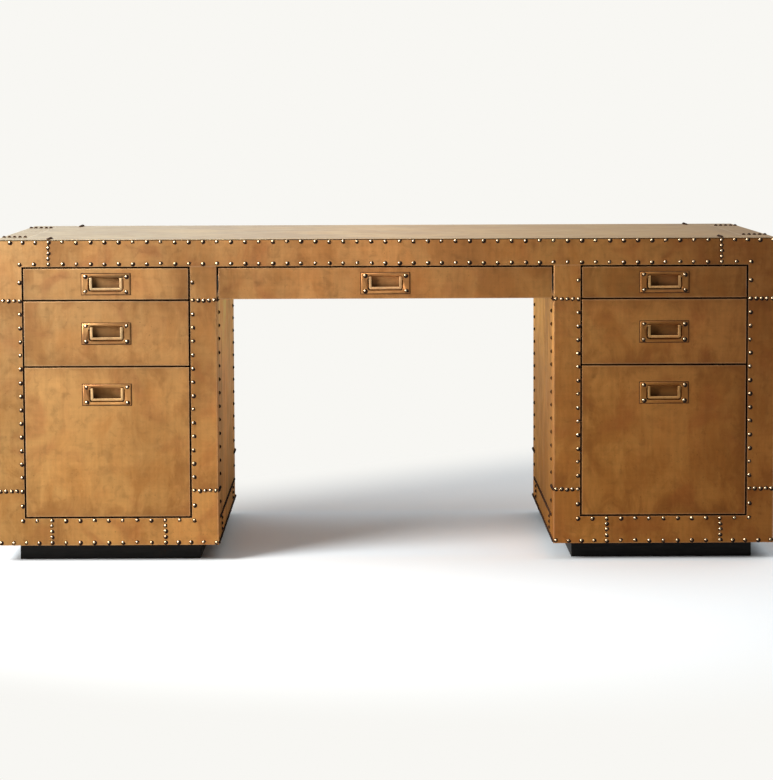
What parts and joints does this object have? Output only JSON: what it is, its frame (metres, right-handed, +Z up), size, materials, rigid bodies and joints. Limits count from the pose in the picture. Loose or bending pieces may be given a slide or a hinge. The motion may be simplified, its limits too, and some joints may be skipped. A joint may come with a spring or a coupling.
{
  "type": "pedestal desk",
  "caption": "Double-pedestal writing desk clad in nailed brass sheet, with inset drawers on slides, recessed drop-bail pulls and set-back black plinths.",
  "frame": {"origin": "middle of the footprint of the whole desk, pulls included, on the floor", "axes": "+X along the desk's width to the sitter's right when facing the desk front, drawers face -Y, +Z up"},
  "size_m": [1.83, 0.7646, 0.762],
  "materials": {
    "sheet_brass": "antiqued brass sheet, mottled brown patina, satin",
    "pull_brass": "aged cast brass, worn brighter on the edges",
    "plinth": "black painted wood, satin",
    "case_wood": "dark stained board",
    "drawer_wood": "clear lacquered plywood",
    "runner_steel": "zinc plated"
  },
  "bodies": {
    "case": {"left_plinth": "plinth", "right_plinth": "plinth", "left_pedestal_panels": "case_wood", "right_pedestal_panels": "case_wood", "pedestal_backs": "case_wood", "pedestal_bottoms": "case_wood", "face_frames": "case_wood", "back_apron": "case_wood", "desktop_underside": "case_wood", "desktop_board": "case_wood", "desktop_ribs": "case_wood", "top_sheets": "sheet_brass", "edge_sheets": "sheet_brass", "field_sheets": "sheet_brass", "outer_corner_sheets": "sheet_brass", "kneehole_corner_sheets": "sheet_brass", "runner_cleats": "case_wood", "cabinet_runners": "runner_steel"},
    "left_top_drawer": {"left_top_drawer_front": "drawer_wood", "left_top_drawer_face": "sheet_brass", "left_top_drawer_box": "drawer_wood", "left_top_drawer_runners": "runner_steel", "left_top_drawer_pull": "pull_brass"},
    "left_top_bail": {"left_top_drawer_bail": "pull_brass"},
    "left_middle_drawer": {"left_middle_drawer_front": "drawer_wood", "left_middle_drawer_face": "sheet_brass", "left_middle_drawer_box": "drawer_wood", "left_middle_drawer_runners": "runner_steel", "left_middle_drawer_pull": "pull_brass"},
    "left_middle_bail": {"left_middle_drawer_bail": "pull_brass"},
    "left_file_drawer": {"left_file_drawer_front": "drawer_wood", "left_file_drawer_face": "sheet_brass", "left_file_drawer_box": "drawer_wood", "left_file_drawer_runners": "runner_steel", "left_file_drawer_pull": "pull_brass"},
    "left_file_bail": {"left_file_drawer_bail": "pull_brass"},
    "right_top_drawer": {"right_top_drawer_front": "drawer_wood", "right_top_drawer_face": "sheet_brass", "right_top_drawer_box": "drawer_wood", "right_top_drawer_runners": "runner_steel", "right_top_drawer_pull": "pull_brass"},
    "right_top_bail": {"right_top_drawer_bail": "pull_brass"},
    "right_middle_drawer": {"right_middle_drawer_front": "drawer_wood", "right_middle_drawer_face": "sheet_brass", "right_middle_drawer_box": "drawer_wood", "right_middle_drawer_runners": "runner_steel", "right_middle_drawer_pull": "pull_brass"},
    "right_middle_bail": {"right_middle_drawer_bail": "pull_brass"},
    "right_file_drawer": {"right_file_drawer_front": "drawer_wood", "right_file_drawer_face": "sheet_brass", "right_file_drawer_box": "drawer_wood", "right_file_drawer_runners": "runner_steel", "right_file_drawer_pull": "pull_brass"},
    "right_file_bail": {"right_file_drawer_bail": "pull_brass"},
    "centre_drawer": {"centre_drawer_front": "drawer_wood", "centre_drawer_face": "sheet_brass", "centre_drawer_box": "drawer_wood", "centre_drawer_runners": "runner_steel", "centre_drawer_pull": "pull_brass"},
    "centre_bail": {"centre_drawer_bail": "pull_brass"}
  },
  "joints": [
    {"name": "left_top_drawer_slide", "type": "slide", "parent": "case", "child": "left_top_drawer", "axis": [0, -1, 0], "range_m": [0, 0.45]},
    {"name": "left_top_bail_swing", "type": "hinge", "parent": "left_top_drawer", "child": "left_top_bail", "pos_m": [-0.655, -0.37975, 0.6705], "axis": [-1, 0, 0], "range_deg": [0, 90]},
    {"name": "left_middle_drawer_slide", "type": "slide", "parent": "case", "child": "left_middle_drawer", "axis": [0, -1, 0], "range_m": [0, 0.45]},
    {"name": "left_middle_bail_swing", "type": "hinge", "parent": "left_middle_drawer", "child": "left_middle_bail", "pos_m": [-0.655, -0.37975, 0.554], "axis": [-1, 0, 0], "range_deg": [0, 90]},
    {"name": "left_file_drawer_slide", "type": "slide", "parent": "case", "child": "left_file_drawer", "axis": [0, -1, 0], "range_m": [0, 0.45]},
    {"name": "left_file_bail_swing", "type": "hinge", "parent": "left_file_drawer", "child": "left_file_bail", "pos_m": [-0.655, -0.37975, 0.41], "axis": [-1, 0, 0], "range_deg": [0, 90]},
    {"name": "right_top_drawer_slide", "type": "slide", "parent": "case", "child": "right_top_drawer", "axis": [0, -1, 0], "range_m": [0, 0.45]},
    {"name": "right_top_bail_swing", "type": "hinge", "parent": "right_top_drawer", "child": "right_top_bail", "pos_m": [0.655, -0.37975, 0.6705], "axis": [-1, 0, 0], "range_deg": [0, 90]},
    {"name": "right_middle_drawer_slide", "type": "slide", "parent": "case", "child": "right_middle_drawer", "axis": [0, -1, 0], "range_m": [0, 0.45]},
    {"name": "right_middle_bail_swing", "type": "hinge", "parent": "right_middle_drawer", "child": "right_middle_bail", "pos_m": [0.655, -0.37975, 0.554], "axis": [-1, 0, 0], "range_deg": [0, 90]},
    {"name": "right_file_drawer_slide", "type": "slide", "parent": "case", "child": "right_file_drawer", "axis": [0, -1, 0], "range_m": [0, 0.45]},
    {"name": "right_file_bail_swing", "type": "hinge", "parent": "right_file_drawer", "child": "right_file_bail", "pos_m": [0.655, -0.37975, 0.41], "axis": [-1, 0, 0], "range_deg": [0, 90]},
    {"name": "centre_drawer_slide", "type": "slide", "parent": "case", "child": "centre_drawer", "axis": [0, -1, 0], "range_m": [0, 0.3]},
    {"name": "centre_bail_swing", "type": "hinge", "parent": "centre_drawer", "child": "centre_bail", "pos_m": [0, -0.37975, 0.6705], "axis": [-1, 0, 0], "range_deg": [0, 90]}
  ]
}
